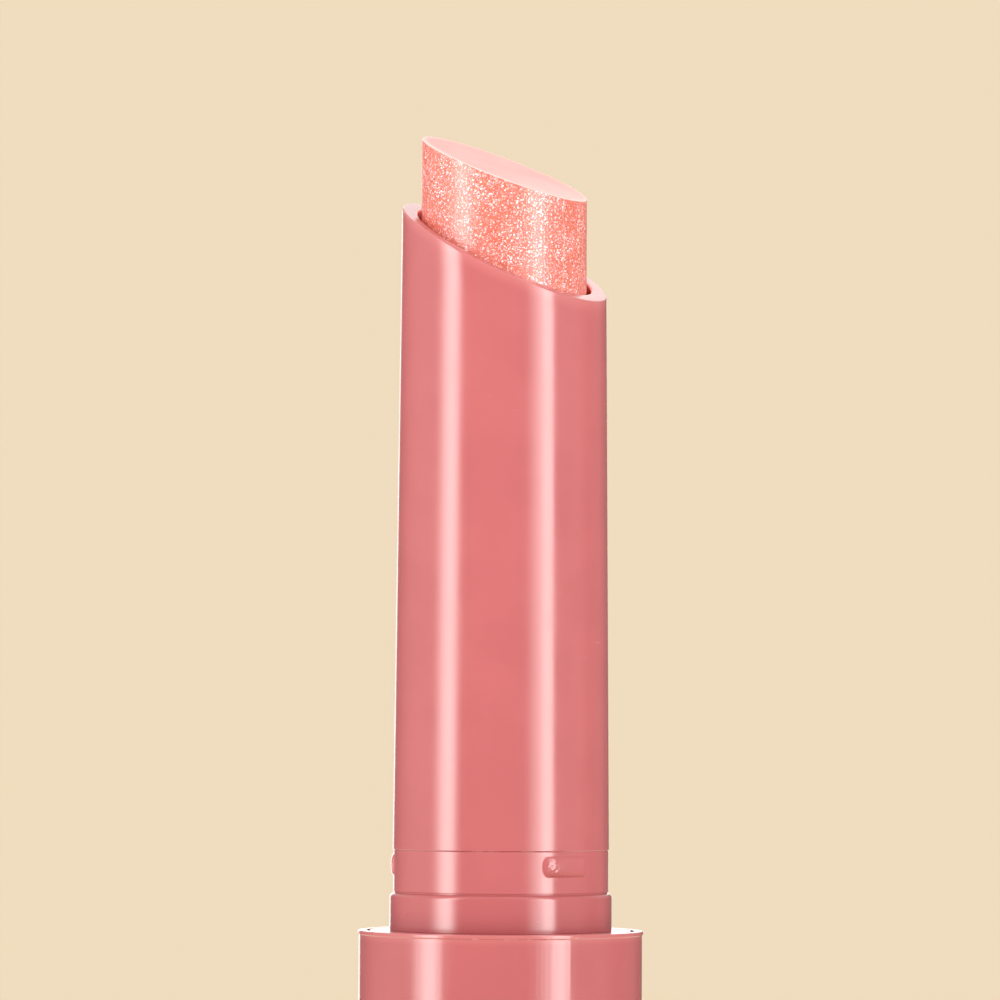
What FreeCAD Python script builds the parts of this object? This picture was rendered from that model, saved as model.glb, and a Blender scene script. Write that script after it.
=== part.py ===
import FreeCAD, Part
import math
import os
from FreeCAD import Vector

# Slanted twist-up lip stick, cap off, standing on its base. Millimetres, +Z up the stick's axis,
# origin at the centre of the underside, +X towards the low side of the slanted sleeve.

AXIS = Vector(0, 0, 1)
ORIGIN = Vector(0, 0, 0)

# Base barrel: outer shell, steel weight, liner and blank label.
BASE_R = 7.25
BASE_TOP = 42.0
SHELL_WALL = 0.75
SHELL_FLOOR = 1.4
SHELL_RIM_ROUND = 0.08
SHELL_REBATE_R = 6.87
SHELL_REBATE_BOTTOM = 41.3
SHELL_FOOT_ROUND = 0.5
LABEL_RECESS_R = 5.6
LABEL_RECESS_DEPTH = 0.2
LABEL_R = 5.4
LABEL_THICKNESS = 0.12
WEIGHT_R = 6.3
WEIGHT_TOP = 4.9
WEIGHT_CHAMFER = 0.25
LINER_FLOOR_TOP = 5.7
LINER_BORE_R = 5.95
LINER_SEAT_R = 5.75
LINER_SEAT_TOP = 7.2
LINER_LIP_R = 5.52
LINER_LIP_BOTTOM = 40.3
LINER_TOP = 41.97
LINER_FLANGE_R = 6.70
LINER_EDGE_ROUND = 0.08

# Spiral drive: two right-hand grooves cut in the tube fixed in the base.
SPIRAL_R = LINER_BORE_R
SPIRAL_BORE_R = 5.17
SPIRAL_TOP = 35.95
LEAD = 12.5
GROOVE_R = 5.65
GROOVE_HEIGHT = 1.46
PIN_Z = 15.0
PIN_R = 0.6
PIN_ROOT_R = 3.95
PIN_TIP_R = 5.58
TRAVEL_DOWN = 6.0
TRAVEL_UP = 19.0
GROOVE_RUN_ON_DEG = 10.0

# Guide tube: turns with the sleeve and steers the pusher's pins along two straight slots.
TUBE_BORE_R = 4.48
GUIDE_R = 5.10
GUIDE_BOTTOM = 6.4
GUIDE_TOP = 40.0
SLOT_WIDTH = 1.36
SLOT_TOP = 34.9
END_RING_R = 5.6
END_RING_BORE_R = 4.5
END_RING_BOTTOM = 5.85
END_RING_TOP = 7.0

# Collar: joins guide tube to sleeve, snaps under the liner's lip, rests on its top and seats the cap.
COLLAR_R = 5.69
COLLAR_TAIL_R = 5.60
COLLAR_NECK_R = 5.45
COLLAR_BOTTOM = 36.0
FLANGE_BOTTOM = 42.05
COLLAR_TOP = 43.91
COLLAR_SHOULDER = 0.30
BEAD_R = 5.75
BEAD_BOTTOM = 39.2
BEAD_TOP = 40.1
BEAD_LEAD_IN = 0.15
RING_GROOVE_R = 5.38
RING_GROOVE_Z = 37.5
RING_GROOVE_WIDTH = 0.6
RING_SECTION_R = 0.27
RING_CENTRE_R = 5.65

# Sleeve: lug band, drafted wall and slanted mouth.
BAND_R = 5.50
BAND_BOTTOM = 43.99
BAND_TOP = 46.13
BAND_EDGE_ROUND = 0.12
STEP = 0.04
SLEEVE_FOOT_R = 5.54
MOUTH_R = 5.28
MOUTH_Z = 76.94
MOUTH_SLANT_DEG = 28.1
MOUTH_OUTER_ROUND = 0.10
MOUTH_INNER_ROUND = 0.06
LUG_Z = 45.35
LUG_HEIGHT = 1.03
LUG_HALF_DEG = 13.8
LUG_CREST_R = 5.66
LUG_EDGE_ROUND = 0.07
LUG_ANGLES = (-18.8, -151.1, 95.0)

# Carrier: pusher tube, cup and balm.
PUSHER_R = 4.40
PUSHER_BORE_R = 3.75
PUSHER_BOTTOM = 14.2
CUP_BOTTOM = 46.0
CUP_FLOOR_TOP = 46.8
CUP_RIM = 54.5
CUP_BORE_R = 3.95
CUP_RIB_COUNT = 6
CUP_RIB_R = 0.28
CUP_RIB_GAP = 1.0
PLUG_BOTTOM = 43.0
PLUG_BORE_R = 3.0
VENT_R = 0.6
BALM_R = 4.27
BALM_Z = 81.25
BALM_SLANT_DEG = 24.3
BALM_EDGE_ROUND = 0.14

# Height left above a slanted plane for it to cut through.
BLANK_ALLOWANCE = 6.0


def turned(points):
    """Solid of revolution about Z from (radius, height) corners."""
    corners = [Vector(r, 0, z) for r, z in points]
    face = Part.Face(Part.makePolygon(corners + corners[:1]))
    return face.revolve(ORIGIN, AXIS, 360)


def tube(outer, inner, bottom, top):
    """Plain tube between two heights."""
    return turned([(inner, bottom), (outer, bottom), (outer, top), (inner, top)])


def rectangle(inner, outer, low, high):
    """Closed corner loop in the XZ plane."""
    return [Vector(r, 0, z) for r, z in ((inner, low), (outer, low), (outer, high), (inner, high), (inner, low))]


def rounded(shape, size, rings):
    """Round the circular edges found at each (radius, height)."""
    picked = []
    for edge in shape.Edges:
        if not isinstance(edge.Curve, Part.Circle):
            continue
        for radius, height in rings:
            near_z = abs(edge.Curve.Center.z - height) < 1e-4
            if near_z and abs(edge.Curve.Radius - radius) < 1e-4:
                picked.append(edge)
    return shape.makeFillet(size, picked)


def spun(shape, degrees):
    """Copy of a shape turned about Z."""
    copy = shape.copy()
    copy.rotate(ORIGIN, AXIS, degrees)
    return copy


def above_slant(height, degrees):
    """Block filling everything above a plane that falls towards +X."""
    side = 60.0
    block = Part.makeBox(side, side, side, Vector(-side / 2, -side / 2, 0))
    block.rotate(ORIGIN, Vector(0, 1, 0), degrees)
    block.translate(Vector(0, 0, height))
    return block


def slant_edges(shape, height, degrees):
    """Edges lying in a slanted mouth plane, longest first."""
    slope = math.tan(math.radians(degrees))
    found = []
    for edge in shape.Edges:
        points = edge.discretize(12)
        if all(abs(p.z - height + slope * p.x) < 1e-3 for p in points):
            found.append(edge)
    return sorted(found, key=lambda e: -e.Length)


def radial_pin(radius, inner, outer, height, degrees):
    """Cylinder whose axis points outwards from Z."""
    pin = Part.makeCylinder(radius, outer - inner, Vector(inner, 0, height), Vector(1, 0, 0))
    return spun(pin, degrees)


def base_shell():
    bore = BASE_R - SHELL_WALL
    shell = turned([
        (0, LABEL_RECESS_DEPTH),
        (LABEL_RECESS_R, LABEL_RECESS_DEPTH),
        (LABEL_RECESS_R, 0),
        (BASE_R, 0),
        (BASE_R, BASE_TOP),
        (SHELL_REBATE_R, BASE_TOP),
        (SHELL_REBATE_R, SHELL_REBATE_BOTTOM),
        (bore, SHELL_REBATE_BOTTOM),
        (bore, SHELL_FLOOR),
        (0, SHELL_FLOOR),
    ])
    shell = rounded(shell, SHELL_FOOT_ROUND, [(BASE_R, 0)])
    return rounded(shell, SHELL_RIM_ROUND, [(BASE_R, BASE_TOP)])


def base_weight():
    weight = turned([(0, SHELL_FLOOR), (WEIGHT_R, SHELL_FLOOR), (WEIGHT_R, WEIGHT_TOP), (0, WEIGHT_TOP)])
    return rounded(weight, WEIGHT_CHAMFER, [(WEIGHT_R, SHELL_FLOOR), (WEIGHT_R, WEIGHT_TOP)])


def shade_label():
    top = LABEL_RECESS_DEPTH
    return turned([(0, top - LABEL_THICKNESS), (LABEL_R, top - LABEL_THICKNESS), (LABEL_R, top), (0, top)])


def base_liner():
    outer = BASE_R - SHELL_WALL
    liner = turned([
        (0, WEIGHT_TOP),
        (outer, WEIGHT_TOP),
        (outer, SHELL_REBATE_BOTTOM),
        (LINER_FLANGE_R, SHELL_REBATE_BOTTOM),
        (LINER_FLANGE_R, LINER_TOP),
        (LINER_LIP_R, LINER_TOP),
        (LINER_LIP_R, LINER_LIP_BOTTOM),
        (LINER_BORE_R, LINER_LIP_BOTTOM),
        (LINER_BORE_R, LINER_SEAT_TOP),
        (LINER_SEAT_R, LINER_SEAT_TOP),
        (LINER_SEAT_R, LINER_FLOOR_TOP),
        (0, LINER_FLOOR_TOP),
    ])
    return rounded(liner, LINER_EDGE_ROUND, [(LINER_FLANGE_R, LINER_TOP), (LINER_LIP_R, LINER_TOP)])


def helical_groove(start_deg):
    """Cutter following the spiral, from just below the lowest pin height to just above the highest."""
    run_on = LEAD * GROOVE_RUN_ON_DEG / 360
    height = TRAVEL_DOWN + TRAVEL_UP + 2 * run_on
    inner = GUIDE_R - 0.1
    half = GROOVE_HEIGHT / 2
    path = Part.makeHelix(LEAD, height, GROOVE_R)
    profile = Part.makePolygon(rectangle(inner, GROOVE_R, -half, half))
    groove = Part.Wire(path.Edges).makePipeShell([profile], True, True)
    low_deg = -TRAVEL_DOWN / LEAD * 360 - GROOVE_RUN_ON_DEG
    groove.translate(Vector(0, 0, PIN_Z - TRAVEL_DOWN - run_on))
    return spun(groove, start_deg + low_deg)


def spiral_tube():
    body = tube(SPIRAL_R, SPIRAL_BORE_R, LINER_SEAT_TOP, SPIRAL_TOP)
    for start_deg in (0, 180):
        body = body.cut(helical_groove(start_deg))
    return body


def guide_tube():
    body = tube(GUIDE_R, TUBE_BORE_R, GUIDE_BOTTOM, GUIDE_TOP)
    straight = SLOT_TOP - SLOT_WIDTH / 2
    slot = Part.makeBox(20, SLOT_WIDTH, straight, Vector(-10, -SLOT_WIDTH / 2, 0))
    end = Part.makeCylinder(SLOT_WIDTH / 2, 20, Vector(-10, 0, straight), Vector(1, 0, 0))
    return body.cut(slot.fuse(end))


def slot_end_ring():
    return turned([
        (END_RING_BORE_R, END_RING_BOTTOM),
        (END_RING_R, END_RING_BOTTOM),
        (END_RING_R, END_RING_TOP),
        (GUIDE_R, END_RING_TOP),
        (GUIDE_R, GUIDE_BOTTOM),
        (END_RING_BORE_R, GUIDE_BOTTOM),
    ])


def collar():
    groove_low = RING_GROOVE_Z - RING_GROOVE_WIDTH / 2
    groove_high = RING_GROOVE_Z + RING_GROOVE_WIDTH / 2
    body = turned([
        (GUIDE_R, COLLAR_BOTTOM),
        (COLLAR_TAIL_R, COLLAR_BOTTOM),
        (COLLAR_TAIL_R, groove_low),
        (RING_GROOVE_R, groove_low),
        (RING_GROOVE_R, groove_high),
        (COLLAR_TAIL_R, groove_high),
        (COLLAR_TAIL_R, BEAD_BOTTOM),
        (BEAD_R, BEAD_BOTTOM + BEAD_LEAD_IN),
        (BEAD_R, BEAD_TOP),
        (COLLAR_NECK_R, BEAD_TOP),
        (COLLAR_NECK_R, FLANGE_BOTTOM),
        (COLLAR_R, FLANGE_BOTTOM),
        (COLLAR_R, COLLAR_TOP),
        (GUIDE_R, COLLAR_TOP),
    ])
    return rounded(body, COLLAR_SHOULDER, [(COLLAR_R, COLLAR_TOP)])


def torque_ring():
    return Part.makeTorus(RING_CENTRE_R, RING_SECTION_R, Vector(0, 0, RING_GROOVE_Z), AXIS)


def cap_lug(degrees):
    """Pill-shaped raised lug: an arc of band closed by two round ends."""
    end_deg = LUG_HALF_DEG - math.degrees(LUG_HEIGHT / 2 / LUG_CREST_R)
    root = TUBE_BORE_R + 0.3
    low = LUG_Z - LUG_HEIGHT / 2
    high = LUG_Z + LUG_HEIGHT / 2
    section = Part.Face(Part.makePolygon(rectangle(root, LUG_CREST_R, low, high)))
    arc = section.revolve(ORIGIN, AXIS, 2 * end_deg)
    lug = spun(arc, -end_deg)
    crest = Part.makeCylinder(LUG_CREST_R, 4 * LUG_HEIGHT, Vector(0, 0, LUG_Z - 2 * LUG_HEIGHT))
    for side in (-1, 1):
        lug = lug.fuse(radial_pin(LUG_HEIGHT / 2, root, LUG_CREST_R + 1, LUG_Z, side * end_deg).common(crest))
    lug = lug.removeSplitter()
    rim = [e for e in lug.Edges if all(abs(math.hypot(p.x, p.y) - LUG_CREST_R) < 1e-3 for p in e.discretize(5))]
    return spun(lug.makeFillet(LUG_EDGE_ROUND, rim), degrees)


def slanted_sleeve():
    step_top = BAND_TOP + STEP
    draft = (SLEEVE_FOOT_R - MOUTH_R) / (MOUTH_Z - step_top)
    blank_top = MOUTH_Z + BLANK_ALLOWANCE
    blank_r = MOUTH_R - draft * (blank_top - MOUTH_Z)
    body = turned([
        (TUBE_BORE_R, GUIDE_TOP),
        (GUIDE_R, GUIDE_TOP),
        (GUIDE_R, BAND_BOTTOM),
        (BAND_R, BAND_BOTTOM),
        (BAND_R, BAND_TOP),
        (SLEEVE_FOOT_R, step_top),
        (blank_r, blank_top),
        (TUBE_BORE_R, blank_top),
    ])
    body = rounded(body, BAND_EDGE_ROUND, [(BAND_R, BAND_BOTTOM)])
    body = body.cut(above_slant(MOUTH_Z, MOUTH_SLANT_DEG))
    outer_edge = slant_edges(body, MOUTH_Z, MOUTH_SLANT_DEG)[0]
    body = body.makeFillet(MOUTH_OUTER_ROUND, [outer_edge])
    inner_edge = slant_edges(body, MOUTH_Z, MOUTH_SLANT_DEG)[-1]
    body = body.makeFillet(MOUTH_INNER_ROUND, [inner_edge])
    for degrees in LUG_ANGLES:
        body = body.fuse(cap_lug(degrees))
    return body


def pusher_tube():
    body = tube(PUSHER_R, PUSHER_BORE_R, PUSHER_BOTTOM, CUP_BOTTOM)
    for degrees in (0, 180):
        body = body.fuse(radial_pin(PIN_R, PIN_ROOT_R, PIN_TIP_R, PIN_Z, degrees))
    return body


def product_cup():
    cup = turned([
        (VENT_R, CUP_BOTTOM),
        (PLUG_BORE_R, CUP_BOTTOM),
        (PLUG_BORE_R, PLUG_BOTTOM),
        (PUSHER_BORE_R, PLUG_BOTTOM),
        (PUSHER_BORE_R, CUP_BOTTOM),
        (PUSHER_R, CUP_BOTTOM),
        (PUSHER_R, CUP_RIM),
        (CUP_BORE_R, CUP_RIM),
        (CUP_BORE_R, CUP_FLOOR_TOP),
        (VENT_R, CUP_FLOOR_TOP),
    ])
    for index in range(CUP_RIB_COUNT):
        cup = cup.fuse(cup_rib(index * 360 / CUP_RIB_COUNT))
    return cup


def cup_rib(degrees):
    """Small half-round rib up the cup's wall that keys the balm."""
    height = CUP_RIM - CUP_FLOOR_TOP - CUP_RIB_GAP
    rib = Part.makeCylinder(CUP_RIB_R, height, Vector(CUP_BORE_R, 0, CUP_FLOOR_TOP), AXIS)
    return spun(rib, degrees)


def balm_bullet():
    blank_top = BALM_Z + BLANK_ALLOWANCE
    body = turned([
        (0, CUP_FLOOR_TOP),
        (CUP_BORE_R, CUP_FLOOR_TOP),
        (CUP_BORE_R, CUP_RIM),
        (BALM_R, CUP_RIM),
        (BALM_R, blank_top),
        (0, blank_top),
    ])
    body = body.cut(above_slant(BALM_Z, BALM_SLANT_DEG))
    body = body.makeFillet(BALM_EDGE_ROUND, slant_edges(body, BALM_Z, BALM_SLANT_DEG)[:1])
    for index in range(CUP_RIB_COUNT):
        body = body.cut(cup_rib(index * 360 / CUP_RIB_COUNT))
    return body


PIECES = (
    base_shell,
    base_weight,
    shade_label,
    base_liner,
    spiral_tube,
    guide_tube,
    slot_end_ring,
    collar,
    torque_ring,
    slanted_sleeve,
    pusher_tube,
    product_cup,
    balm_bullet,
)

os.makedirs("parts", exist_ok=True)
for make in PIECES:
    shape = make()
    if len(shape.Solids) != 1 or not shape.isValid():
        raise ValueError(make.__name__ + " is not one valid solid")
    shape.Solids[0].exportStep("parts/" + make.__name__ + ".step")
    print(make.__name__, round(shape.Volume, 2), "mm3")
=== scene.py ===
import math

import bmesh
import bpy
from mathutils import Matrix, Vector
from mathutils.noise import turbulence


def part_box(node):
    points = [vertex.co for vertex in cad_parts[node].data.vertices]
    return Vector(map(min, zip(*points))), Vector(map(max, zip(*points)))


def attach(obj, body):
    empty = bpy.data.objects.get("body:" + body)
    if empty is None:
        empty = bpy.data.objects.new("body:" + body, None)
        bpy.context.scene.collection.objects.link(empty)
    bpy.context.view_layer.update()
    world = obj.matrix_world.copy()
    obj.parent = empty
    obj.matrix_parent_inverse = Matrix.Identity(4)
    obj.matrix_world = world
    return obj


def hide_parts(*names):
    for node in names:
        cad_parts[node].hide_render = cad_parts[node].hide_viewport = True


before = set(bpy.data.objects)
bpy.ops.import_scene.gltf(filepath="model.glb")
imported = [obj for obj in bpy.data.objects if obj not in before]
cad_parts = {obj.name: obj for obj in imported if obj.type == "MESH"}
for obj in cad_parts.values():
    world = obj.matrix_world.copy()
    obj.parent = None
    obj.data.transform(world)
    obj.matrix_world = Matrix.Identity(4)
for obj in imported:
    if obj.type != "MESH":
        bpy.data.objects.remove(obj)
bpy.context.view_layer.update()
MM = 0.001

# ---------------------------------------------------------------- driving sizes (mm)
# Heights and radii that the CAD nodes' boxes give.
BASE_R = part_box("base_shell")[1].x / MM
BASE_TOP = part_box("base_shell")[1].z / MM
COLLAR_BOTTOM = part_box("collar")[0].z / MM
COLLAR_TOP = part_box("collar")[1].z / MM
SLEEVE_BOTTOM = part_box("slanted_sleeve")[0].z / MM
BALM_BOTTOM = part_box("balm_bullet")[0].z / MM

SHELL_BORE_R = 6.5
SHELL_FLOOR = 1.4
REBATE_R = 6.87
REBATE_BOTTOM = 41.3
RIM_LIP = 0.045
RIM_LIP_HEIGHT = 0.23
RIM_LIP_STEP = 0.06
RIM_WOBBLE = 0.014
WOBBLE_MARGIN = 0.03
FOOT_ROUND = 0.5
LABEL_RECESS_R = 5.6
LABEL_RECESS_DEPTH = 0.2
LINER_FLANGE_R = 6.70
LINER_LIP_R = 5.52
LINER_LIP_BOTTOM = 40.3
LINER_BORE_R = 5.95
LINER_SEAT_R = 5.75
LINER_SEAT_TOP = 7.2
LINER_FLOOR_TOP = 5.7
LINER_FLOOR_BOTTOM = 4.9

COLLAR_R = 5.69
COLLAR_TAIL_R = 5.60
COLLAR_NECK_R = 5.45
COLLAR_SHOULDER = 0.24
BEAD_R = 5.75
BEAD_BOTTOM = 39.2
BEAD_TOP = 40.1
BEAD_LEAD_IN = 0.15
RING_GROOVE_R = 5.38
RING_GROOVE = (37.2, 37.8)
GUIDE_R = 5.10
NECK_CLOSE_R = 5.47
NECK_CLOSE_Z = 43.995
NECK_TURN_IN = 0.15
NECK_TURN_DOWN = 0.1

BORE_R = 4.48
BORE_ROW = 20.0
BAND_R = 5.505
BAND_BOTTOM = 43.99
BAND_TOP = 46.13
BAND_BEAD = 0.015
BAND_BEAD_HEIGHT = 0.13
BAND_ROUND = 0.04
FOOT_R = 5.54
WITNESS_WIDTH = 0.04
WITNESS_DEPTH = 0.05
WITNESS_STEP = 0.015
WALL_START = 0.12
MOUTH_R = 5.28
MOUTH_Z = 76.94
MOUTH_SLANT = math.radians(28.1)
MOUTH_OUTER_ROUND = 0.08
MOUTH_INNER_ROUND = 0.11
LUG_Z = 45.35
LUG_HALF_HEIGHT = 0.515
LUG_HALF_LENGTH = 1.33
LUG_RISE = 0.20
LUG_NOSE = 0.64
LUG_NOSE_ROUND = 0.32
LUG_TAIL_SHARE = 0.6
LUG_TAIL_STEP = 0.10
LUG_LUMPS = 0.15
LUG_ROWS_PAST = 0.04
LUG_CLEAR_BELOW = 0.06
LUG_CLEAR_ABOVE = 0.07
LUG_ANGLES = (-18.8, -151.1, 95.0)

BALM_R = 4.27
BALM_STUB_R = 3.95
BALM_STUB_TOP = 54.5
BALM_Z = 81.25
BALM_SLANT = math.radians(24.3)
BALM_ROUND = 0.07
BALM_CROWN = 0.06
CUT_FACE_ABOVE = 70.0
CUT_FACE_TILT = 0.45

# ---------------------------------------------------------------- looks
# Colours are linear RGB.
PINK_SLEEVE = ((0.420, 0.104, 0.110, 1), (0.405, 0.099, 0.105, 1))
PINK_BASE = ((0.410, 0.099, 0.106, 1), (0.395, 0.095, 0.101, 1))
PINK_COLLAR = ((0.405, 0.095, 0.100, 1), (0.39, 0.091, 0.096, 1))
# Painted light: the base is painted towards this lighter tone just under its top edge.
PINK_BASE_PAINTED_LIGHT = (0.46, 0.128, 0.130, 1)
# Painted shade: the collar is painted towards this darker tone at its foot, next to the base.
PINK_COLLAR_PAINTED_SHADE = (0.345, 0.074, 0.080, 1)
# Painted highlight: the pale colour of the lines along the parting lines.
HIGHLIGHT_LINE_PINK = (0.86, 0.56, 0.53, 1)
DUST = (0.80, 0.50, 0.48, 1)

# Painted light: the slim wall under the mouth is painted lighter, for the light that comes through it. The
# bore's edge carries a film of balm, painted lit by the mouth and in shade deeper in, with a painted glow.
MOUTH_PAINTED_LIGHT = (0.462, 0.130, 0.132, 1)
MOUTH_PAINTED_LIGHT_DEPTH = 0.65
FILM_PAINTED_SHADE = (0.34, 0.045, 0.04, 1)
FILM_PAINTED_LIT = (0.80, 0.22, 0.16, 1)
FILM_PAINTED_GLOW = (0.9, 0.11, 0.07, 1)

BALM_DEEP = (0.46, 0.103, 0.064, 1)
BALM_LIGHT = (0.50, 0.128, 0.092, 1)
# Painted glow: the balm's emission, which lifts its shade.
BALM_PAINTED_GLOW = (0.9, 0.12, 0.07, 1)
# The cut face's own tone with a painted reflection, as it has no specular.
BALM_FACE_AND_PAINTED_SHEEN = ((0.88, 0.395, 0.375, 1), (0.91, 0.42, 0.40, 1))
# Painted highlight round the cut face's edge and painted light at its low end.
BALM_FACE_PAINTED_HIGHLIGHT = (0.93, 0.60, 0.555, 1)
FLAKE_PINK = (1.0, 0.72, 0.86, 1)
FLAKE_GOLD = (1.0, 0.82, 0.58, 1)
FLAKE_WHITE = (0.98, 0.92, 0.98, 1)
# Painted shade: the tone of flakes painted dark.
FLAKE_PAINTED_SHADE = (0.29, 0.056, 0.048, 1)
# Cells per mm, flake size as a share of a cell, how pale the buried flakes are painted (their own tint and
# painted glints), and how bright the glints.
FLAKE_LAYERS = ((5.0, 0.28, 0.9, 0.12), (8.0, 0.50, 0.75, 0.07), (13.0, 0.55, 0.6, 0.06))

# ---------------------------------------------------------------- mesh fineness
ROUND_SEGMENTS = 256
RIM_SEGMENTS = 720
SLEEVE_SEGMENTS = 960
ARC_STEPS = 8
LUG_ROWS = 34
WALL_ROWS = 24
BALM_ROWS = 20
CROWN_RINGS = 14
FLOOR_SEGMENTS = 96
WELD = 1e-8
SHARP_ANGLE = math.radians(30)
# A closed profile starts and ends part-way up a straight bore, at these heights over its foot.
SEAM_LOW = 2.0
SEAM_HIGH = 2.5

# ---------------------------------------------------------------- camera and studio
# The camera's azimuth is counted round the stick from -Y. Distances are in mm.
CAMERA_AZIMUTH = math.radians(34.9)
CAMERA_DISTANCE = 241.7
CAMERA_SIDESTEP = -0.141
CAMERA_ABOVE_BASE = 8.82
CAMERA_TILT = math.radians(3.14)
CAMERA_ROLL = math.radians(0.30)
SENSOR_MM = 36.0
LENS_MM = 169.2

BACKDROP = (0.8714, 0.7157, 0.5149, 1.0)
FLOOR_R = 260.0
FLOOR_HOLE_R = 6.6
FLOOR_GAP = 0.02

# Soft panels: where their angles are counted from ("front" is the camera's side, "back" the far side), their
# edges round the stick and above it in degrees (starts, full from, full to, ends), and their strength.
TALL = (-75, -20, 22, 62)
SIDE = (-60, -20, 30, 80)
PANELS = (
    ("front", (24, 42, 56, 59), TALL, 5.3),
    ("front", (40.5, 47.5, 56, 59), TALL, 5.3),
    ("front", (-81, -59.5, -56.5, -44), TALL, 10.2),
    ("front", (-75, -20, 15, 70), (-80, -20, 30, 80), 0.4),
    ("back", (-17, -13, 4, 7), (-12, -4, 8, 14), 2.4),
    ("back", (-14, -10, 12, 16), (8, 16, 70, 80), 1.03),
    ("back", (-80, -35, 35, 80), (6, 22, 60, 88), 0.5),
    ("front", (60, 66, 84, 112), SIDE, 0.75),
    ("front", (84, 112, 130, 150), SIDE, 0.2),
    ("front", (-150, -88, -79, -71), SIDE, 0.95),
)
TOP_CARD = (40, 75, 0.7)
AMBIENT = 0.16
LIGHT_COLOUR = (1.0, 0.98, 0.95, 1)
LAMP_COLOUR = (1.0, 0.98, 0.96)


# ---------------------------------------------------------------- mesh helpers
def arc_between(before, corner, after, size):
    """Points of the round that replaces a profile corner."""
    a, c, b = Vector(before), Vector(corner), Vector(after)
    u, v = (a - c).normalized(), (b - c).normalized()
    angle = u.angle(v)
    if size <= 0 or angle > math.pi - 1e-3:
        return [tuple(c)]
    reach = size / math.tan(angle / 2)
    start, end = c + u * reach, c + v * reach
    centre = c + (u + v).normalized() * (size / math.sin(angle / 2))
    first = start - centre
    sweep = first.angle_signed(end - centre)
    points = []
    for i in range(ARC_STEPS + 1):
        turn = Matrix.Rotation(-sweep * i / ARC_STEPS, 2)
        points.append(tuple(centre + turn @ first))
    return points


def rounded_profile(corners):
    """(radius, height, round) corners to a smooth list of (radius, height)."""
    points = [corners[0][:2]]
    for i in range(1, len(corners) - 1):
        points += arc_between(corners[i - 1][:2], corners[i][:2], corners[i + 1][:2], corners[i][2])
    return points + [corners[-1][:2]]


def finish_mesh(name, verts, faces, body, node, materials):
    """Makes the object, smooths it, and puts it on its CAD body in place of its CAD node."""
    mesh = bpy.data.meshes.new(name)
    mesh.from_pydata([Vector(v) * MM for v in verts], [], faces)
    work = bmesh.new()
    work.from_mesh(mesh)
    bmesh.ops.remove_doubles(work, verts=work.verts, dist=WELD)
    bmesh.ops.recalc_face_normals(work, faces=work.faces)
    for face in work.faces:
        face.smooth = True
    work.to_mesh(mesh)
    work.free()
    for material in materials:
        mesh.materials.append(material)
    piece = bpy.data.objects.new(name, mesh)
    bpy.context.scene.collection.objects.link(piece)
    shade = piece.modifiers.new("even_normals", "WEIGHTED_NORMAL")
    shade.mode = "FACE_AREA"
    shade.weight = 60
    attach(piece, body)
    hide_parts(node)
    return piece


def skin(columns, closed):
    """Vertices and quads of a surface through columns of points set round the axis."""
    rows = len(columns[0])
    count = len(columns)
    verts = [p for column in columns for p in column]
    faces = []
    last_row = rows if closed else rows - 1
    for i in range(count):
        j = (i + 1) % count
        for k in range(last_row):
            m = (k + 1) % rows
            faces.append((i * rows + k, j * rows + k, j * rows + m, i * rows + m))
    return verts, faces


def angles(count):
    """Evenly spaced directions round the axis."""
    return [2 * math.pi * i / count for i in range(count)]


def at(r, theta, z):
    """Point at a radius, direction and height."""
    return r * math.cos(theta), r * math.sin(theta), z


def lathe(profile, segments=ROUND_SEGMENTS):
    """Closed solid of revolution. A profile whose ends lie on the axis is capped there by fans."""
    on_axis = profile[0][0] < 1e-6 and profile[-1][0] < 1e-6
    ring_part = profile[1:-1] if on_axis else profile
    columns = [[at(r, t, z) for r, z in ring_part] for t in angles(segments)]
    verts, faces = skin(columns, closed=not on_axis)
    if on_axis:
        rows = len(ring_part)
        for end, row in ((profile[0], 0), (profile[-1], rows - 1)):
            centre = len(verts)
            verts.append((0, 0, end[1]))
            for i in range(segments):
                j = (i + 1) % segments
                faces.append((i * rows + row, j * rows + row, centre))
    return verts, faces


def slerp(u, v, t):
    """Unit vector part of the way round from one to another."""
    angle = u.angle(v)
    if angle < 1e-6:
        return u.copy()
    return (u * math.sin((1 - t) * angle) + v * math.sin(t * angle)) / math.sin(angle)


def mouth_round(theta, radius, size, plane_z, slant, outward):
    """Rolling-ball round between a wall of the given radius and a mouth plane that falls towards +X."""
    normal = Vector((math.sin(slant), 0, math.cos(slant)))
    side = 1 if outward else -1
    ball_r = radius - side * size
    centre = Vector((ball_r * math.cos(theta), ball_r * math.sin(theta), 0))
    centre.z = plane_z - math.tan(slant) * centre.x - size / math.cos(slant)
    wall = Vector((side * math.cos(theta), side * math.sin(theta), 0))
    return [tuple(centre + size * slerp(wall, normal, i / ARC_STEPS)) for i in range(ARC_STEPS + 1)]


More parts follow.
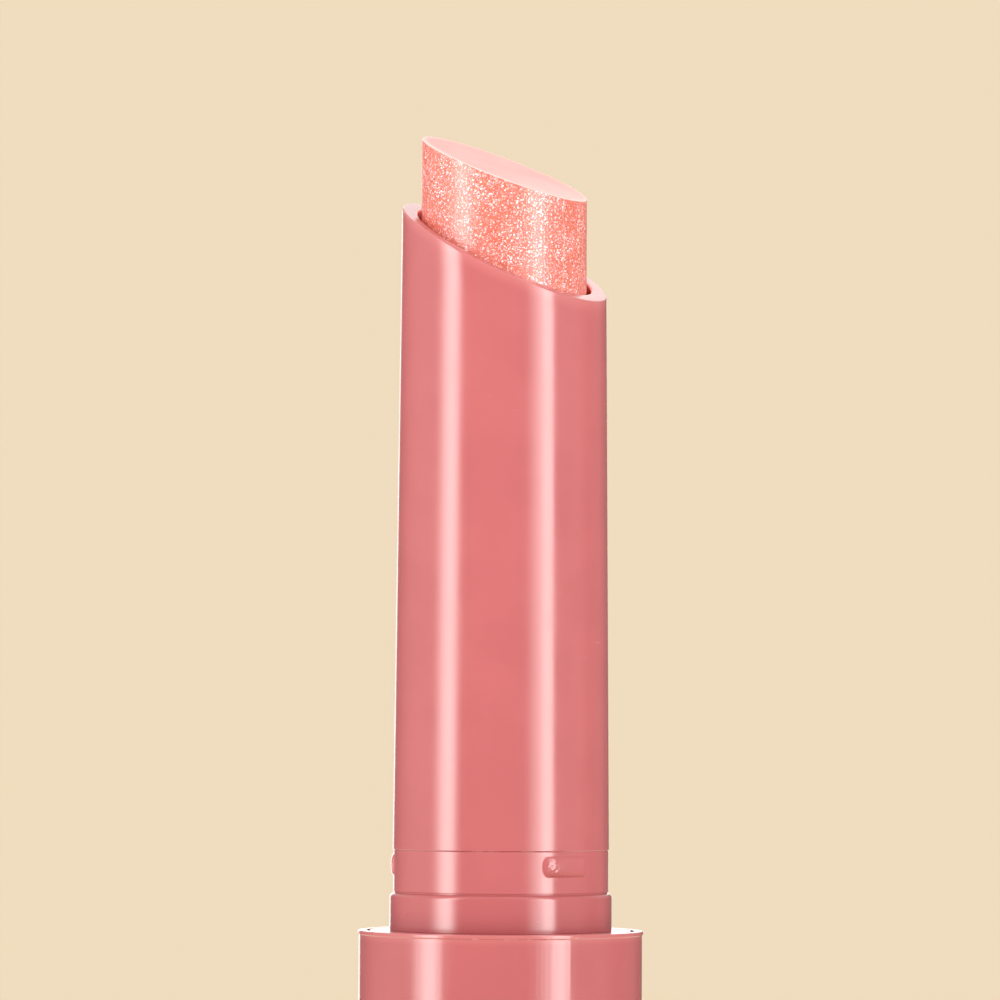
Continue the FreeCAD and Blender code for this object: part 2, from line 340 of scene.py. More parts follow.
# ---------------------------------------------------------------- pieces
def make_shell(material):
    """The wide barrel, with its rim lip and the label recess underneath."""
    profile = rounded_profile([
        (0, LABEL_RECESS_DEPTH, 0),
        (LABEL_RECESS_R, LABEL_RECESS_DEPTH, 0.03),
        (LABEL_RECESS_R, 0, 0.06),
        (BASE_R, 0, FOOT_ROUND),
        (BASE_R, BASE_TOP - RIM_LIP_HEIGHT, 0.02),
        (BASE_R + RIM_LIP, BASE_TOP - RIM_LIP_HEIGHT + RIM_LIP_STEP, 0.02),
        (BASE_R + RIM_LIP, BASE_TOP, 0.045),
        (REBATE_R, BASE_TOP, 0.03),
        (REBATE_R, REBATE_BOTTOM, 0.05),
        (SHELL_BORE_R, REBATE_BOTTOM, 0.02),
        (SHELL_BORE_R, SHELL_FLOOR, 0.2),
        (0, SHELL_FLOOR, 0),
    ])
    verts, faces = lathe(profile, RIM_SEGMENTS)
    verts = [rim_wobble(v) for v in verts]
    return finish_mesh("base_shell_skin", verts, faces, "base", "base_shell", [material])


def rim_wobble(vert):
    """The lip under the base's top edge is slightly uneven, as a parting line leaves it."""
    x, y, z = vert
    r = math.hypot(x, y)
    low, high = BASE_TOP - RIM_LIP_HEIGHT - WOBBLE_MARGIN, BASE_TOP - WOBBLE_MARGIN
    if r < BASE_R - 0.02 or not low < z < high:
        return vert
    share = math.sin(math.pi * (z - low) / (high - low))
    lump = turbulence(Vector((x * 6.0, y * 6.0, z * 9.0)), 3, False)
    push = 1 + RIM_WOBBLE * share * lump / r
    return x * push, y * push, z


def make_liner(material):
    """The base's inner tube, whose flange closes the shell's rim."""
    profile = rounded_profile([
        (0, LINER_FLOOR_BOTTOM, 0),
        (SHELL_BORE_R, LINER_FLOOR_BOTTOM, 0.15),
        (SHELL_BORE_R, REBATE_BOTTOM, 0.02),
        (LINER_FLANGE_R, REBATE_BOTTOM, 0.03),
        (LINER_FLANGE_R, BASE_TOP, 0.04),
        (LINER_LIP_R, BASE_TOP, 0.09),
        (LINER_LIP_R, LINER_LIP_BOTTOM, 0.06),
        (LINER_BORE_R, LINER_LIP_BOTTOM, 0.06),
        (LINER_BORE_R, LINER_SEAT_TOP, 0.04),
        (LINER_SEAT_R, LINER_SEAT_TOP, 0.04),
        (LINER_SEAT_R, LINER_FLOOR_TOP, 0.1),
        (0, LINER_FLOOR_TOP, 0),
    ])
    verts, faces = lathe(profile)
    return finish_mesh("base_liner_skin", verts, faces, "base", "base_liner", [material])


def make_collar(material):
    """The ring that joins the guide tube to the sleeve and seats the cap."""
    low, high = RING_GROOVE
    profile = rounded_profile([
        (GUIDE_R, COLLAR_BOTTOM + SEAM_LOW, 0),
        (GUIDE_R, COLLAR_BOTTOM, 0.05),
        (COLLAR_TAIL_R, COLLAR_BOTTOM, 0.12),
        (COLLAR_TAIL_R, low, 0.04),
        (RING_GROOVE_R, low, 0.04),
        (RING_GROOVE_R, high, 0.04),
        (COLLAR_TAIL_R, high, 0.04),
        (COLLAR_TAIL_R, BEAD_BOTTOM, 0.04),
        (BEAD_R, BEAD_BOTTOM + BEAD_LEAD_IN, 0.04),
        (BEAD_R, BEAD_TOP, 0.06),
        (COLLAR_NECK_R, BEAD_TOP, 0.04),
        (COLLAR_NECK_R, BASE_TOP, 0.02),
        (COLLAR_R, BASE_TOP, 0.03),
        (COLLAR_R, COLLAR_TOP, COLLAR_SHOULDER),
        (NECK_CLOSE_R - NECK_TURN_IN, COLLAR_TOP, 0),
        (NECK_CLOSE_R - NECK_TURN_IN, COLLAR_TOP - NECK_TURN_DOWN, 0),
        (NECK_CLOSE_R, COLLAR_TOP - NECK_TURN_DOWN, 0),
        (NECK_CLOSE_R, NECK_CLOSE_Z, 0.01),
        (GUIDE_R, NECK_CLOSE_Z, 0.02),
        (GUIDE_R, COLLAR_BOTTOM + SEAM_HIGH, 0),
    ])
    verts, faces = lathe(profile)
    return finish_mesh("collar_skin", verts, faces, "sleeve", "collar", [material])


def lug_height(theta, z):
    """How far the band stands proud here: a domed pill, steep at its nose, that falls away behind."""
    for degrees in LUG_ANGLES:
        gap = (theta - math.radians(degrees) + math.pi) % (2 * math.pi) - math.pi
        along = gap * BAND_R
        up = (z - LUG_Z) / LUG_HALF_HEIGHT
        if abs(along) >= LUG_HALF_LENGTH or abs(up) >= 1:
            continue
        from_nose = along + LUG_HALF_LENGTH
        reach = LUG_NOSE_ROUND * (1 - math.sqrt(1 - up * up))
        if from_nose <= reach:
            continue
        rise = min((from_nose - reach) / LUG_NOSE, 1)
        nose = math.sqrt(1 - (1 - rise) ** 2)
        dome = (1 - abs(up) ** 2.6) ** 0.6
        travel = from_nose / (2 * LUG_HALF_LENGTH)
        tail = 1 - (1 - LUG_TAIL_SHARE) * travel
        end = min((LUG_HALF_LENGTH - along) / LUG_TAIL_STEP, 1)
        spot = Vector((along * 7.5, z * 7.5, degrees))
        lumps = 1 + LUG_LUMPS * (turbulence(spot, 3, False) - 0.5) * (1 - travel)
        return LUG_RISE * nose * dome * tail * math.sin(end * math.pi / 2) * lumps
    return 0.0


def sleeve_foot_profile():
    """Lug band and the fine moulded lip above it."""
    low = rounded_profile([
        (GUIDE_R, SLEEVE_BOTTOM + SEAM_LOW, 0),
        (GUIDE_R, BAND_BOTTOM, 0.02),
        (BAND_R + BAND_BEAD, BAND_BOTTOM, BAND_ROUND),
        (BAND_R, BAND_BOTTOM + BAND_BEAD_HEIGHT, 0.02),
        (BAND_R, LUG_Z - LUG_HALF_HEIGHT - LUG_CLEAR_BELOW, 0),
    ])
    span = 2 * (LUG_HALF_HEIGHT + LUG_ROWS_PAST)
    lug_rows = [(BAND_R, LUG_Z - span / 2 + span * i / LUG_ROWS) for i in range(LUG_ROWS + 1)]
    lip = rounded_profile([
        (BAND_R, LUG_Z + LUG_HALF_HEIGHT + LUG_CLEAR_ABOVE, 0),
        (BAND_R, BAND_TOP - WITNESS_WIDTH, 0.015),
        (BAND_R - WITNESS_DEPTH, BAND_TOP, 0.008),
        (FOOT_R, BAND_TOP + WITNESS_STEP, 0.012),
        (FOOT_R, BAND_TOP + WALL_START, 0),
    ])
    return low + lug_rows + lip


def sleeve_column(theta, foot):
    """One line of points up the sleeve's outside, over the slanted mouth and down its bore."""
    points = [at(GUIDE_R, theta, SLEEVE_BOTTOM)]
    for r, z in foot:
        rise = lug_height(theta, z) if r == BAND_R else 0
        points.append(at(r + rise, theta, z))
    start_z = foot[-1][1]
    draft = (FOOT_R - MOUTH_R) / (MOUTH_Z - start_z)
    # The tapering wall's radius at the slanted mouth depends on the height there: a few rounds settle it.
    edge_r = MOUTH_R
    for _ in range(4):
        edge_z = MOUTH_Z - math.tan(MOUTH_SLANT) * edge_r * math.cos(theta)
        edge_r = FOOT_R - draft * (edge_z - start_z)
    outer = mouth_round(theta, edge_r, MOUTH_OUTER_ROUND, MOUTH_Z, MOUTH_SLANT, True)
    inner = mouth_round(theta, BORE_R, MOUTH_INNER_ROUND, MOUTH_Z, MOUTH_SLANT, False)
    wall_height = outer[0][2] - start_z
    for i in range(1, WALL_ROWS):
        up = wall_height * i / WALL_ROWS
        points.append(at(FOOT_R - draft * up, theta, start_z + up))
    points += outer
    points += inner[::-1]
    points.append(at(BORE_R, theta, SLEEVE_BOTTOM + BORE_ROW))
    points.append(at(BORE_R, theta, SLEEVE_BOTTOM))
    return points


def make_sleeve(material):
    """The tube with the lugs, the parting line and the slanted mouth."""
    foot = sleeve_foot_profile()
    columns = [sleeve_column(t, foot) for t in angles(SLEEVE_SEGMENTS)]
    verts, faces = skin(columns, closed=True)
    return finish_mesh("slanted_sleeve_skin", verts, faces, "sleeve", "slanted_sleeve", [material])


def balm_column(theta):
    """One line of points up the balm's stub and side, over its edge and in across the crowned cut face."""
    points = [at(BALM_STUB_R, theta, BALM_BOTTOM), at(BALM_STUB_R, theta, BALM_STUB_TOP)]
    rim = mouth_round(theta, BALM_R, BALM_ROUND, BALM_Z, BALM_SLANT, True)
    side_height = rim[0][2] - BALM_STUB_TOP
    for i in range(BALM_ROWS):
        points.append(at(BALM_R, theta, BALM_STUB_TOP + side_height * i / BALM_ROWS))
    points += rim
    edge_r = math.hypot(rim[-1][0], rim[-1][1])
    for i in range(1, CROWN_RINGS):
        r = edge_r * (1 - i / CROWN_RINGS)
        crown = BALM_CROWN * (1 - (r / edge_r) ** 2) ** 1.5
        points.append(at(r, theta, BALM_Z - math.tan(BALM_SLANT) * r * math.cos(theta) + crown))
    return points


def make_balm(side_material, top_material):
    """The balm, with a material of its own on the cut face."""
    columns = [balm_column(t) for t in angles(ROUND_SEGMENTS)]
    verts, faces = skin(columns, closed=False)
    rows = len(columns[0])
    for row, z in ((0, BALM_BOTTOM), (rows - 1, BALM_Z + BALM_CROWN)):
        centre = len(verts)
        verts.append((0, 0, z))
        for i in range(ROUND_SEGMENTS):
            faces.append((i * rows + row, (i + 1) % ROUND_SEGMENTS * rows + row, centre))
    piece = finish_mesh("balm_skin", verts, faces, "carrier", "balm_bullet", [side_material, top_material])
    for polygon in piece.data.polygons:
        if polygon.normal.z > CUT_FACE_TILT and polygon.center.z > CUT_FACE_ABOVE * MM:
            polygon.material_index = 1
    return piece


# ---------------------------------------------------------------- node helpers
def plug(tree, socket, value):
    """Links a socket to another one's output, or sets its value."""
    if isinstance(value, bpy.types.NodeSocket):
        tree.links.new(value, socket)
    else:
        socket.default_value = value


def node(tree, kind, inputs=None, out=0, **settings):
    """Adds a node, sets and links it, and returns one of its outputs."""
    made = tree.nodes.new(kind)
    for key, value in settings.items():
        setattr(made, key, value)
    for key, value in (inputs or {}).items():
        plug(tree, made.inputs[key], value)
    return made.outputs[out]


def calc(tree, operation, *values):
    """Result of a math node."""
    return node(tree, "ShaderNodeMath", dict(enumerate(values)), operation=operation)


def ramp(tree, value, low, high, at_low=0.0, at_high=1.0):
    """Smooth step from one value to another."""
    inputs = {"Value": value, "From Min": low, "From Max": high, "To Min": at_low, "To Max": at_high}
    return node(tree, "ShaderNodeMapRange", inputs, interpolation_type="SMOOTHSTEP")


def band(tree, value, low_out, low_in, high_in, high_out):
    """One inside a range, falling softly to zero outside it."""
    rise = ramp(tree, value, low_out, low_in)
    fall = ramp(tree, value, high_in, high_out, 1.0, 0.0)
    return calc(tree, "MULTIPLY", rise, fall)


def mix_colour(tree, share, a, b):
    """Colour between a and b."""
    made = tree.nodes.new("ShaderNodeMix")
    made.data_type = "RGBA"
    plug(tree, made.inputs[0], share)
    plug(tree, made.inputs[6], a)
    plug(tree, made.inputs[7], b)
    return made.outputs[2]


def noise(tree, where, scale, detail=2.0, rough=0.5):
    """Noise value at a point."""
    inputs = {"Vector": where, "Scale": scale, "Detail": detail, "Roughness": rough}
    return node(tree, "ShaderNodeTexNoise", inputs)


def scaled(tree, vector, factor):
    """Vector or colour times a number."""
    return node(tree, "ShaderNodeVectorMath", {0: vector, 3: factor}, operation="SCALE")


def coordinates(tree, vector):
    """The x, y and z outputs of a vector."""
    return node(tree, "ShaderNodeSeparateXYZ", {0: vector}).node.outputs


def dress_shader(tree, shader, **inputs):
    """Sets or links the shader's inputs. Underscores stand for the spaces in their names."""
    for key, value in inputs.items():
        plug(tree, shader.inputs[key.replace("_", " ")], value)


def new_material(name):
    """Empty node material, its Principled shader and the object-space position in millimetres."""
    material = bpy.data.materials.new(name)
    material.use_nodes = True
    tree = material.node_tree
    tree.nodes.clear()
    shader = tree.nodes.new("ShaderNodeBsdfPrincipled")
    output = tree.nodes.new("ShaderNodeOutputMaterial")
    tree.links.new(shader.outputs[0], output.inputs[0])
    spot = scaled(tree, node(tree, "ShaderNodeTexCoord", out=3), 1 / MM)
    return material, tree, shader, spot


def bump(tree, height, strength, distance_mm, normal=None):
    """Surface normal bent by a height."""
    inputs = {"Height": height, "Strength": strength, "Distance": distance_mm * MM}
    if normal is not None:
        inputs["Normal"] = normal
    return node(tree, "ShaderNodeBump", inputs)


def stretched(tree, spot, across, upward):
    """Coordinates scaled across and up the stick, so that noise runs in streaks round it."""
    inputs = {0: spot, 1: (across, across, upward)}
    return node(tree, "ShaderNodeVectorMath", inputs, operation="MULTIPLY")


def axis_distance(tree, parts):
    """Distance from the stick's axis."""
    squares = [calc(tree, "POWER", part, 2.0) for part in parts[:2]]
    return calc(tree, "SQRT", calc(tree, "ADD", *squares))


def mouth_distance(tree, parts):
    """Millimetres that a point lies under the sleeve's slanted mouth plane."""
    drop = calc(tree, "MULTIPLY_ADD", parts[0], math.tan(MOUTH_SLANT), parts[2])
    return calc(tree, "MULTIPLY", calc(tree, "SUBTRACT", MOUTH_Z, drop), math.cos(MOUTH_SLANT))


# ---------------------------------------------------------------- materials
def pink_plastic(name, tones, dust_share=0.0, painted_gradient=None, highlight_line=None, mouth=False):
    """Glossy pigmented plastic with faint mottling and round scuffs.

    dust_share adds rare pale dust. painted_gradient is (height where it starts, height where it is whole,
    colour there): a painted light or a painted shade, as the caller gives, blended in over that range.
    highlight_line is (height, share) of a pale painted highlight along a parting line. mouth adds painted
    light under the slanted mouth and the balm smear on its bore, painted lit and in shade.
    """
    material, tree, shader, spot = new_material(name)
    parts = coordinates(tree, spot)
    cloud = noise(tree, spot, 0.35, 3.0)
    colour, deep = tones
    base = mix_colour(tree, ramp(tree, cloud, 0.35, 0.65), deep, colour)
    if dust_share:
        cell = node(tree, "ShaderNodeTexVoronoi", {"Vector": spot, "Scale": 1.5})
        base = mix_colour(tree, ramp(tree, cell, 0.03, 0.05, dust_share, 0.0), base, DUST)
    # Painted light and painted shade both come in through painted_gradient.
    if painted_gradient:
        start, whole, faded = painted_gradient
        base = mix_colour(tree, ramp(tree, parts[2], start, whole), base, faded)
    if highlight_line:
        base = painted_highlight_line(tree, spot, parts, base, *highlight_line)
    if mouth:
        base = mouth_look(tree, shader, spot, parts, base)
    streak = noise(tree, stretched(tree, spot, 0.55, 22.0), 1.0, 3.0, 0.6)
    patch = ramp(tree, noise(tree, spot, 0.22, 2.0), 0.5, 0.68)
    scuff = calc(tree, "MULTIPLY", ramp(tree, streak, 0.52, 0.75), patch)
    roughness = calc(tree, "MULTIPLY_ADD", scuff, 0.12, 0.16)
    roughness = calc(tree, "MULTIPLY_ADD", ramp(tree, cloud, 0.3, 0.7), 0.03, roughness)
    normal = bump(tree, noise(tree, spot, 2.2, 2.0), 0.10, 0.010)
    normal = bump(tree, scuff, 0.25, 0.004, normal)
    dress_shader(tree, shader, Base_Color=base, Roughness=roughness, IOR=1.55, Normal=normal)
    return material


def painted_highlight_line(tree, spot, parts, base, height, share):
    """Pale painted highlight along a parting line: whole at two opposite sides, across the camera's view,
    broken between them.
    """
    off = calc(tree, "ABSOLUTE", calc(tree, "SUBTRACT", parts[2], height))
    line = ramp(tree, off, 0.015, 0.04, share, 0.0)
    along_x = calc(tree, "MULTIPLY", parts[0], math.cos(CAMERA_AZIMUTH))
    along_y = calc(tree, "MULTIPLY", parts[1], math.sin(CAMERA_AZIMUTH))
    # Painted highlight: the line is whole near the sides as seen from the camera.
    sides = ramp(tree, calc(tree, "ABSOLUTE", calc(tree, "ADD", along_x, along_y)), 2.6, 3.4)
    highlight_share = ramp(tree, noise(tree, spot, 1.3, 3.0, 0.7), 0.52, 0.60, 0.0, 0.8)
    highlight_share = calc(tree, "MAXIMUM", highlight_share, sides)
    return mix_colour(tree, calc(tree, "MULTIPLY", line, highlight_share), base, HIGHLIGHT_LINE_PINK)


def mouth_look(tree, shader, spot, parts, base):
    """Paints light onto the slim wall under the slanted mouth and smears the bore's edge with balm, painted
    lit at the mouth and in lumps, painted in shade deeper in, and given a painted glow.
    """
    below = mouth_distance(tree, parts)
    # Painted light: the wall is painted lighter close under the mouth.
    base = mix_colour(tree, ramp(tree, below, 0.0, MOUTH_PAINTED_LIGHT_DEPTH, 1.0, 0.0), base, MOUTH_PAINTED_LIGHT)
    inner = calc(tree, "LESS_THAN", axis_distance(tree, parts), BORE_R + MOUTH_INNER_ROUND * 0.7)
    film = calc(tree, "MULTIPLY", inner, ramp(tree, below, 0.0, 2.0, 1.0, 0.3))
    lumps = ramp(tree, noise(tree, spot, 5.0, 2.0), 0.48, 0.62, 0.0, 0.45)
    # Painted light and shade of the smear: lit at the mouth and in lumps, shaded elsewhere.
    film_lit_share = calc(tree, "MAXIMUM", lumps, ramp(tree, below, 0.05, 0.2, 1.0, 0.0))
    # Painted glow where the smear is painted lit.
    lit = calc(tree, "MULTIPLY", calc(tree, "MULTIPLY", film, film_lit_share), 0.30)
    dress_shader(tree, shader, Emission_Color=FILM_PAINTED_GLOW, Emission_Strength=lit)
    return mix_colour(tree, film, base, mix_colour(tree, film_lit_share, FILM_PAINTED_SHADE, FILM_PAINTED_LIT))


def flakes(tree, spot, scale, size):
    """One layer of shimmer: the flakes' mask, each one's tint, its strength and its random colour."""
    cell = node(tree, "ShaderNodeTexVoronoi", {"Vector": spot, "Scale": scale}).node.outputs
    parts = node(tree, "ShaderNodeSeparateColor", {0: cell["Color"]}).node.outputs
    disc = ramp(tree, cell["Distance"], size * 0.45, size, 1.0, 0.0)
    warm = mix_colour(tree, ramp(tree, parts[1], 0.62, 0.72), FLAKE_PINK, FLAKE_GOLD)
    tint = mix_colour(tree, ramp(tree, parts[2], 0.45, 0.5), warm, FLAKE_WHITE)
    return disc, tint, parts[0], cell["Color"]


def leaning(tree, colour, lean_share):
    """Surface normal leaned by a random colour, so that each flake faces its own way."""
    middle = (0.5, 0.5, 0.5)
    lean = node(tree, "ShaderNodeVectorMath", {0: colour, 1: middle}, operation="SUBTRACT")
    flat = node(tree, "ShaderNodeNewGeometry", out=1)
    tilted = node(tree, "ShaderNodeVectorMath", {0: flat, 1: scaled(tree, lean, lean_share)}, operation="ADD")
    return node(tree, "ShaderNodeVectorMath", {0: tilted}, operation="NORMALIZE")


def balm_side():
    """Coral balm crowded with small flakes: most lie under the surface, some catch the light. The buried
    flakes are painted pale, partly their own tint and partly painted glints; some are painted dark as painted
    shade; a painted glow lifts the balm's shade.
    """
    material, tree, shader, spot = new_material("balm_shimmer")
    cloud = noise(tree, spot, 0.9, 3.0)
    base = mix_colour(tree, ramp(tree, cloud, 0.35, 0.65), BALM_DEEP, BALM_LIGHT)
    crowd = ramp(tree, noise(tree, spot, 0.8, 2.0), 0.38, 0.66, 0.65, 1.15)
    glints = []
    for scale, size, buried, shiny in FLAKE_LAYERS:
        disc, tint, strength, colour = flakes(tree, spot, scale, size)
        disc = calc(tree, "MULTIPLY", disc, crowd)
        # Painted glints: buried flakes painted pale, partly their own tint.
        share = calc(tree, "MULTIPLY", ramp(tree, strength, 0.25, 1.0, 0.0, buried), disc)
        base = mix_colour(tree, share, base, tint)
        # Painted shade: some flakes are painted dark.
        shade = calc(tree, "MULTIPLY", ramp(tree, strength, 0.12, 0.22, 0.65, 0.0), disc)
        base = mix_colour(tree, shade, base, FLAKE_PAINTED_SHADE)
        glow = scaled(tree, tint, calc(tree, "MULTIPLY", disc, shiny))
        look = {"Color": glow, "Roughness": 0.22, "Normal": leaning(tree, colour, 1.4)}
        glints.append(node(tree, "ShaderNodeBsdfAnisotropic", look))
    # The balm's emission is a painted glow that lifts its shade.
    dress_shader(tree, shader, Base_Color=base, Emission_Color=BALM_PAINTED_GLOW, Emission_Strength=0.15,
                 Roughness=0.34, IOR=1.6, Subsurface_Weight=0.12, Subsurface_Radius=(1.0, 0.35, 0.25),
                 Subsurface_Scale=0.3 * MM, Normal=bump(tree, noise(tree, spot, 6.0, 2.0), 0.3, 0.02))
    surface = shader.outputs[0]
    for glint in glints:
        surface = node(tree, "ShaderNodeAddShader", {0: surface, 1: glint})
    tree.links.new(surface, tree.nodes["Material Output"].inputs[0])
    return material


def balm_top():
    """The balm's smooth cut face: paler, partly by a painted reflection as it has no specular, with no flakes
    showing, a narrow painted highlight round its edge and painted light towards its low end.
    """
    material, tree, shader, spot = new_material("balm_face")
    parts = coordinates(tree, spot)
    deep, light = BALM_FACE_AND_PAINTED_SHEEN
    base = mix_colour(tree, ramp(tree, noise(tree, spot, 0.5, 2.0), 0.3, 0.7), deep, light)
    # Painted highlight round the edge and painted light towards the low end.
    edge = ramp(tree, axis_distance(tree, parts), BALM_R - 0.40, BALM_R - 0.08)
    low_end = ramp(tree, parts[0], 0.5, 4.0, 0.0, 0.35)
    share = calc(tree, "MAXIMUM", calc(tree, "MULTIPLY", edge, 0.6), low_end)
    base = mix_colour(tree, share, base, BALM_FACE_PAINTED_HIGHLIGHT)
    normal = bump(tree, noise(tree, spot, 3.0, 3.0), 0.12, 0.02)
    dress_shader(tree, shader, Base_Color=base, Roughness=0.5, Specular_IOR_Level=0.0, Normal=normal)
    return material


def plain_plastic(name, light, dark, rough):
    """Natural moulded plastic for the parts of the drive."""
    material, tree, shader, spot = new_material(name)
    base = mix_colour(tree, ramp(tree, noise(tree, spot, 0.6, 4.0), 0.3, 0.7), dark, light)
    roughness = ramp(tree, noise(tree, spot, 2.0), 0.3, 0.7, rough, rough + 0.12)
    normal = bump(tree, noise(tree, spot, 9.0, 3.0), 0.2, 0.01)
    dress_shader(tree, shader, Base_Color=base, Roughness=roughness, Normal=normal)
    return material


def turned_steel():
    """Disc faced on a lathe: fine rings about the axis."""
    material, tree, shader, spot = new_material("turned_steel")
    inputs = {"Vector": spot, "Scale": 6.0, "Distortion": 0.6, "Detail": 2.0}
    rings = node(tree, "ShaderNodeTexWave", inputs, wave_type="RINGS", rings_direction="Z")
    base = mix_colour(tree, rings, (0.42, 0.42, 0.43, 1), (0.62, 0.61, 0.60, 1))
    dress_shader(tree, shader, Base_Color=base, Metallic=1.0, Roughness=ramp(tree, rings, 0, 1, 0.25, 0.4),
                 Normal=bump(tree, rings, 0.3, 0.01))
    return material


def label_paper():
    """Blank coated label with a faint fibre."""
    material, tree, shader, spot = new_material("label_paper")
    fibre = noise(tree, stretched(tree, spot, 3.0, 3.0), 2.5, 6.0, 0.7)
    base = mix_colour(tree, fibre, (0.80, 0.74, 0.71, 1), (0.88, 0.84, 0.82, 1))
    roughness = ramp(tree, fibre, 0.3, 0.7, 0.45, 0.6)
    dress_shader(tree, shader, Base_Color=base, Roughness=roughness, Normal=bump(tree, fibre, 0.25, 0.01))
    return material


def ring_rubber():
    """Black rubber of the torque ring."""
    material, tree, shader, spot = new_material("ring_rubber")
    grain = noise(tree, spot, 12.0, 4.0)
    base = mix_colour(tree, grain, (0.012, 0.012, 0.013, 1), (0.03, 0.03, 0.03, 1))
    roughness = ramp(tree, grain, 0.3, 0.7, 0.55, 0.75)
    dress_shader(tree, shader, Base_Color=base, Roughness=roughness, Normal=bump(tree, grain, 0.3, 0.01))
    return material


def floor_material():
    """Pale floor that fades into the backdrop, and lets a camera under it see the foot."""
    material, tree, shader, spot = new_material("floor")
    base = mix_colour(tree, noise(tree, spot, 0.02, 2.0), (0.61, 0.50, 0.355, 1), (0.65, 0.535, 0.38, 1))
    away = node(tree, "ShaderNodeVectorMath", {0: spot}, out=1, operation="LENGTH")
    faded = ramp(tree, away, FLOOR_R * 0.35, FLOOR_R * 0.98, 1.0, 0.0)
    from_above = calc(tree, "SUBTRACT", 1.0, node(tree, "ShaderNodeNewGeometry", out=6))
    alpha = calc(tree, "MULTIPLY", faded, from_above)
    dress_shader(tree, shader, Base_Color=base, Roughness=0.85, Specular_IOR_Level=0.2, Alpha=alpha)
    return material


# ---------------------------------------------------------------- light and camera
def softbox(tree, turn, height, turn_edges, height_edges, strength):
    """One soft panel of light, from its edges in degrees round and above the stick."""
    across = band(tree, turn, *turn_edges)
    upright = band(tree, height, *height_edges)
    return calc(tree, "MULTIPLY", calc(tree, "MULTIPLY", across, upright), strength)


def studio_world():
    """Plain backdrop for the camera. All else sees the soft panels, a top card and a little ambient."""
    world = bpy.data.worlds.new("studio")
    bpy.context.scene.world = world
    world.use_nodes = True
    tree = world.node_tree
    tree.nodes.clear()
    inputs = {"Vector": node(tree, "ShaderNodeTexCoord"), "Angle": -CAMERA_AZIMUTH}
    direction = node(tree, "ShaderNodeVectorRotate", inputs, rotation_type="Z_AXIS")
    x, y, z = coordinates(tree, direction)
    degrees = 180 / math.pi
    away = calc(tree, "MULTIPLY", y, -1.0)
    turns = {
        "front": calc(tree, "MULTIPLY", calc(tree, "ARCTAN2", x, away), degrees),
        "back": calc(tree, "MULTIPLY", calc(tree, "ARCTAN2", x, y), degrees),
    }
    height = calc(tree, "MULTIPLY", calc(tree, "ARCSINE", z), degrees)
    total = AMBIENT
    for side, turn_edges, height_edges, strength in PANELS:
        panel = softbox(tree, turns[side], height, turn_edges, height_edges, strength)
        total = calc(tree, "ADD", panel, total)
    low, high, strength = TOP_CARD
    total = calc(tree, "ADD", ramp(tree, height, low, high, 0.0, strength), total)
    light = node(tree, "ShaderNodeBackground", {"Color": LIGHT_COLOUR, "Strength": total})
    plain = node(tree, "ShaderNodeBackground", {"Color": BACKDROP, "Strength": 1.0})
    seen = node(tree, "ShaderNodeLightPath", out=0)
    surface = node(tree, "ShaderNodeMixShader", {0: seen, 1: light, 2: plain})
    output = tree.nodes.new("ShaderNodeOutputWorld")
    tree.links.new(surface, output.inputs[0])


def make_floor():
    """Round floor. It is open under the stick's foot, so that the underside is lit."""
    rings = [FLOOR_HOLE_R] + [FLOOR_R * k / 3 for k in (1, 2, 3)]
    columns = [[at(r, t, -FLOOR_GAP) for r in rings] for t in angles(FLOOR_SEGMENTS)]
    verts, faces = skin(columns, closed=False)
    mesh = bpy.data.meshes.new("floor")
    mesh.from_pydata([Vector(v) * MM for v in verts], [], [face[::-1] for face in faces])
    mesh.materials.append(floor_material())
    floor = bpy.data.objects.new("floor", mesh)
    bpy.context.scene.collection.objects.link(floor)


def make_lamp(name, place, aim, size, energy, mirrored):
    """Large soft panel. mirrored says whether glossy surfaces show it."""
    lamp = bpy.data.lights.new(name, "AREA")
    lamp.shape = "RECTANGLE"
    lamp.size, lamp.size_y = size
    lamp.energy = energy
    lamp.color = LAMP_COLOUR
    rig = bpy.data.objects.new(name, lamp)
    rig.location = place
    rig.rotation_euler = (Vector(aim) - Vector(place)).to_track_quat("-Z", "Y").to_euler()
    rig.visible_glossy = mirrored
    bpy.context.scene.collection.objects.link(rig)


def make_camera():
    """Long lens, tilted up and rolled a little."""
    right = Vector((1, 0, 0))
    ahead = Vector((0, math.cos(CAMERA_TILT), math.sin(CAMERA_TILT)))
    up = Vector((0, -math.sin(CAMERA_TILT), math.cos(CAMERA_TILT)))
    c, s = math.cos(CAMERA_ROLL), math.sin(CAMERA_ROLL)
    side, top = right * c + up * s, up * c - right * s
    turn = Matrix.Rotation(CAMERA_AZIMUTH, 3, "Z")
    facing = Matrix((turn @ side, turn @ top, turn @ -ahead)).transposed()
    place = turn @ Vector((CAMERA_SIDESTEP, -CAMERA_DISTANCE, BASE_TOP + CAMERA_ABOVE_BASE)) * MM
    lens = bpy.data.cameras.new("camera")
    lens.sensor_width = SENSOR_MM
    lens.lens = LENS_MM
    lens.clip_start, lens.clip_end = 0.01, 10
    camera = bpy.data.objects.new("camera", lens)
    camera.matrix_world = Matrix.Translation(place) @ facing.to_4x4()
    bpy.context.scene.collection.objects.link(camera)
    bpy.context.scene.camera = camera


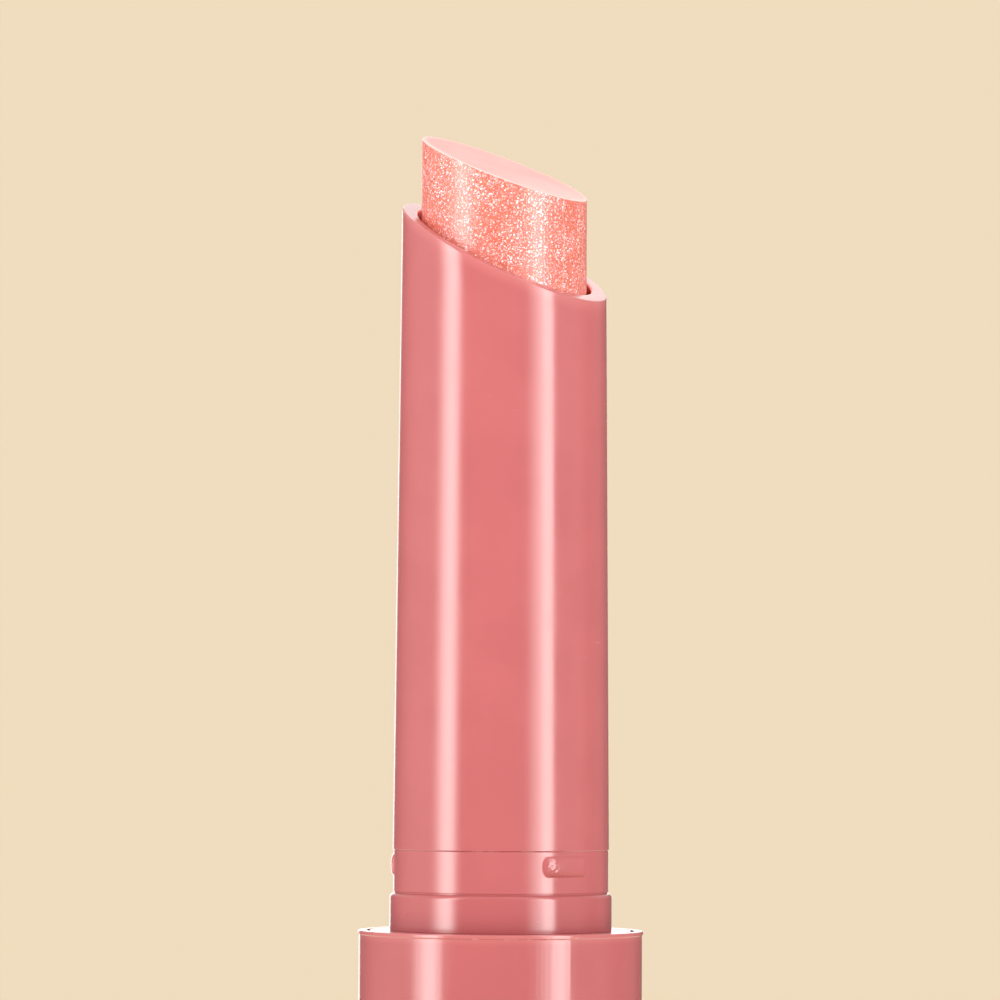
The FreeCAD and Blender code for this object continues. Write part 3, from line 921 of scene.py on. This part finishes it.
def dress(name, material):
    """Gives a CAD node that stays as it is its material and smooth shading."""
    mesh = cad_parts[name].data
    mesh.materials.clear()
    mesh.materials.append(material)
    for polygon in mesh.polygons:
        polygon.material_index = 0
        polygon.use_smooth = True
    mesh.set_sharp_from_angle(angle=SHARP_ANGLE)


# ---------------------------------------------------------------- build
# highlight_line paints a pale painted highlight along the sleeve's and the base's parting lines.
pink = pink_plastic("pink_sleeve", PINK_SLEEVE, highlight_line=(BAND_TOP, 0.3), mouth=True)
# The base is painted lighter just under its top edge: painted light.
pink_base = pink_plastic("pink_base", PINK_BASE, painted_gradient=(BASE_TOP - 0.6, BASE_TOP - 0.1, PINK_BASE_PAINTED_LIGHT),
                         highlight_line=(BASE_TOP - RIM_LIP_HEIGHT + 0.03, 0.25))
# The collar is painted darker towards its foot: painted shade.
pink_collar = pink_plastic("pink_collar", PINK_COLLAR, dust_share=0.5, painted_gradient=(43.3, 42.0, PINK_COLLAR_PAINTED_SHADE))
natural = plain_plastic("natural_plastic", (0.80, 0.79, 0.76, 1), (0.72, 0.71, 0.68, 1), 0.4)
cream = plain_plastic("cream_plastic", (0.83, 0.81, 0.78, 1), (0.76, 0.74, 0.71, 1), 0.35)
grey = plain_plastic("grey_plastic", (0.50, 0.50, 0.50, 1), (0.42, 0.42, 0.43, 1), 0.45)

make_shell(pink_base)
make_liner(pink_base)
make_collar(pink_collar)
make_sleeve(pink)
make_balm(balm_side(), balm_top())

dress("base_weight", turned_steel())
dress("shade_label", label_paper())
dress("spiral_tube", natural)
dress("guide_tube", cream)
dress("slot_end_ring", grey)
dress("torque_ring", ring_rubber())
dress("pusher_tube", natural)
dress("product_cup", cream)

studio_world()
make_lamp("overhead", (0.05, 0.1, 0.6), (0, 0, 0.05), (0.5, 0.35), 0.35, True)
make_lamp("back_fill", (-0.30, 0.42, 0.22), (0, 0, 0.04), (0.4, 0.4), 0.55, False)
make_floor()
make_camera()
bpy.context.scene.view_settings.view_transform = "Standard"
